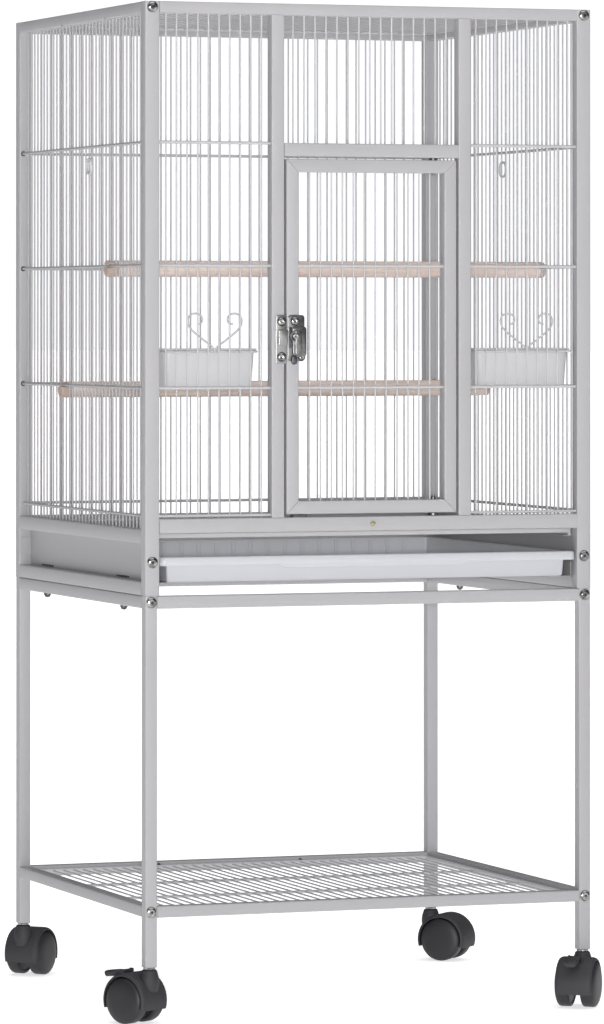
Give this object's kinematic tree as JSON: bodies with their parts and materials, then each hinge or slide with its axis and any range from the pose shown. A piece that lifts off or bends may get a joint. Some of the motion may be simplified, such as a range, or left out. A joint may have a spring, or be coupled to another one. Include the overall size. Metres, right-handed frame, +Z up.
{
  "type": "aviary",
  "caption": "Tall wire flight cage on a wheeled stand, with a front door, turn latch, perches, hanging feeder cups and a sliding grate and tray.",
  "frame": {"origin": "on the floor, at the middle of the bounding box with the casters as they stand", "axes": "+Z up, -Y out of the front door side, +X to the right as seen from the front"},
  "size_m": [0.7284, 0.6926, 1.346],
  "materials": {
    "grey_coat": "satin light grey powder coat",
    "plated_steel": "bright zinc or nickel plate",
    "pale_wood": "bare pale hardwood dowel",
    "cup_plastic": "white moulded plastic",
    "tray_plastic": "white moulded plastic, very slightly blue",
    "black_plastic": "black moulded plastic",
    "wheel_plastic": "black hard plastic wheel"
  },
  "bodies": {
    "frame": {"back_panel": "grey_coat", "cage_bolt_left_lower": "plated_steel", "cage_bolt_left_top": "plated_steel", "cage_bolt_right_lower": "plated_steel", "cage_bolt_right_top": "plated_steel", "caster_stem_back_left": "plated_steel", "caster_stem_back_right": "plated_steel", "caster_stem_front_left": "plated_steel", "caster_stem_front_right": "plated_steel", "door_pivot_lower": "plated_steel", "door_pivot_upper": "plated_steel", "feeder_holder_left": "grey_coat", "feeder_holder_right": "grey_coat", "front_panel": "grey_coat", "latch_keeper": "plated_steel", "leg_frame_back": "grey_coat", "leg_frame_front": "grey_coat", "perch_lower": "pale_wood", "perch_upper": "pale_wood", "shelf_grid": "grey_coat", "shelf_side_rail_left": "grey_coat", "shelf_side_rail_right": "grey_coat", "side_panel_left": "grey_coat", "side_panel_right": "grey_coat", "sill_screw": "plated_steel", "stand_bolt_left_lower": "plated_steel", "stand_bolt_left_top": "plated_steel", "stand_bolt_right_lower": "plated_steel", "stand_bolt_right_top": "plated_steel", "stand_screw_left_back": "plated_steel", "stand_screw_left_front": "plated_steel", "stand_screw_right_back": "plated_steel", "stand_screw_right_front": "plated_steel", "stand_side_rail_left": "grey_coat", "stand_side_rail_right": "grey_coat", "top_panel": "grey_coat", "tray_runner_left": "grey_coat", "tray_runner_right": "grey_coat"},
    "door": {"door": "grey_coat", "latch_plate": "plated_steel"},
    "latch_lever": {"latch_lever": "plated_steel"},
    "tray": {"tray": "tray_plastic"},
    "grate": {"grate": "grey_coat"},
    "feeder_cup_left": {"feeder_cup_left": "cup_plastic"},
    "feeder_cup_right": {"feeder_cup_right": "cup_plastic"},
    "caster_hood_front_left": {"caster_hood_front_left": "black_plastic"},
    "caster_wheels_front_left": {"caster_wheels_front_left": "wheel_plastic"},
    "caster_hood_front_right": {"caster_hood_front_right": "black_plastic"},
    "caster_wheels_front_right": {"caster_wheels_front_right": "wheel_plastic"},
    "caster_hood_back_left": {"caster_hood_back_left": "black_plastic"},
    "caster_wheels_back_left": {"caster_wheels_back_left": "wheel_plastic"},
    "caster_hood_back_right": {"caster_hood_back_right": "black_plastic"},
    "caster_wheels_back_right": {"caster_wheels_back_right": "wheel_plastic"},
    "brake_pedal_front_left": {"brake_pedal_front_left": "black_plastic"},
    "brake_pedal_front_right": {"brake_pedal_front_right": "black_plastic"}
  },
  "joints": [
    {"name": "door_hinge", "type": "hinge", "parent": "frame", "child": "door", "pos_m": [0.08784, -0.27992, 0.668], "axis": [0, 0, 1], "range_deg": [0, 110]},
    {"name": "latch_turn", "type": "hinge", "parent": "door", "child": "latch_lever", "pos_m": [-0.11266, -0.29092, 0.905], "axis": [0, 1, 0], "range_deg": [0, 90]},
    {"name": "tray_slide", "type": "slide", "parent": "frame", "child": "tray", "axis": [0, -1, 0], "range_m": [0, 0.5]},
    {"name": "grate_slide", "type": "slide", "parent": "frame", "child": "grate", "axis": [0, -1, 0], "range_m": [0, 0.48]},
    {"name": "feeder_lift_left", "type": "slide", "parent": "frame", "child": "feeder_cup_left", "axis": [0, 0, 1], "range_m": [0, 0.06]},
    {"name": "feeder_lift_right", "type": "slide", "parent": "frame", "child": "feeder_cup_right", "axis": [0, 0, 1], "range_m": [0, 0.06]},
    {"name": "caster_swivel_front_left", "type": "hinge", "parent": "frame", "child": "caster_hood_front_left", "pos_m": [-0.31286, -0.28012, 0.0717], "axis": [0, 0, 1], "continuous": true},
    {"name": "wheel_spin_front_left", "type": "hinge", "parent": "caster_hood_front_left", "child": "caster_wheels_front_left", "pos_m": [-0.32536, -0.25847, 0.0305], "axis": [-0.866, -0.5, 0], "continuous": true},
    {"name": "brake_press_front_left", "type": "hinge", "parent": "caster_hood_front_left", "child": "brake_pedal_front_left", "pos_m": [-0.33286, -0.24548, 0.0672], "axis": [-0.866, -0.5, 0], "range_deg": [0, 12]},
    {"name": "caster_swivel_front_right", "type": "hinge", "parent": "frame", "child": "caster_hood_front_right", "pos_m": [0.30454, -0.28012, 0.0717], "axis": [0, 0, 1], "continuous": true},
    {"name": "wheel_spin_front_right", "type": "hinge", "parent": "caster_hood_front_right", "child": "caster_wheels_front_right", "pos_m": [0.28985, -0.30035, 0.0305], "axis": [0.809, -0.5878, 0], "continuous": true},
    {"name": "brake_press_front_right", "type": "hinge", "parent": "caster_hood_front_right", "child": "brake_pedal_front_right", "pos_m": [0.28103, -0.31248, 0.0672], "axis": [0.809, -0.5878, 0], "range_deg": [0, 12]},
    {"name": "caster_swivel_back_left", "type": "hinge", "parent": "frame", "child": "caster_hood_back_left", "pos_m": [-0.31286, 0.28628, 0.0717], "axis": [0, 0, 1], "continuous": true},
    {"name": "wheel_spin_back_left", "type": "hinge", "parent": "caster_hood_back_left", "child": "caster_wheels_back_left", "pos_m": [-0.29549, 0.30426, 0.0305], "axis": [-0.7193, 0.6947, 0], "continuous": true},
    {"name": "caster_swivel_back_right", "type": "hinge", "parent": "frame", "child": "caster_hood_back_right", "pos_m": [0.30454, 0.28628, 0.0717], "axis": [0, 0, 1], "continuous": true},
    {"name": "wheel_spin_back_right", "type": "hinge", "parent": "caster_hood_back_right", "child": "caster_wheels_back_right", "pos_m": [0.32222, 0.2686, 0.0305], "axis": [0.7071, 0.7071, 0], "continuous": true}
  ]
}
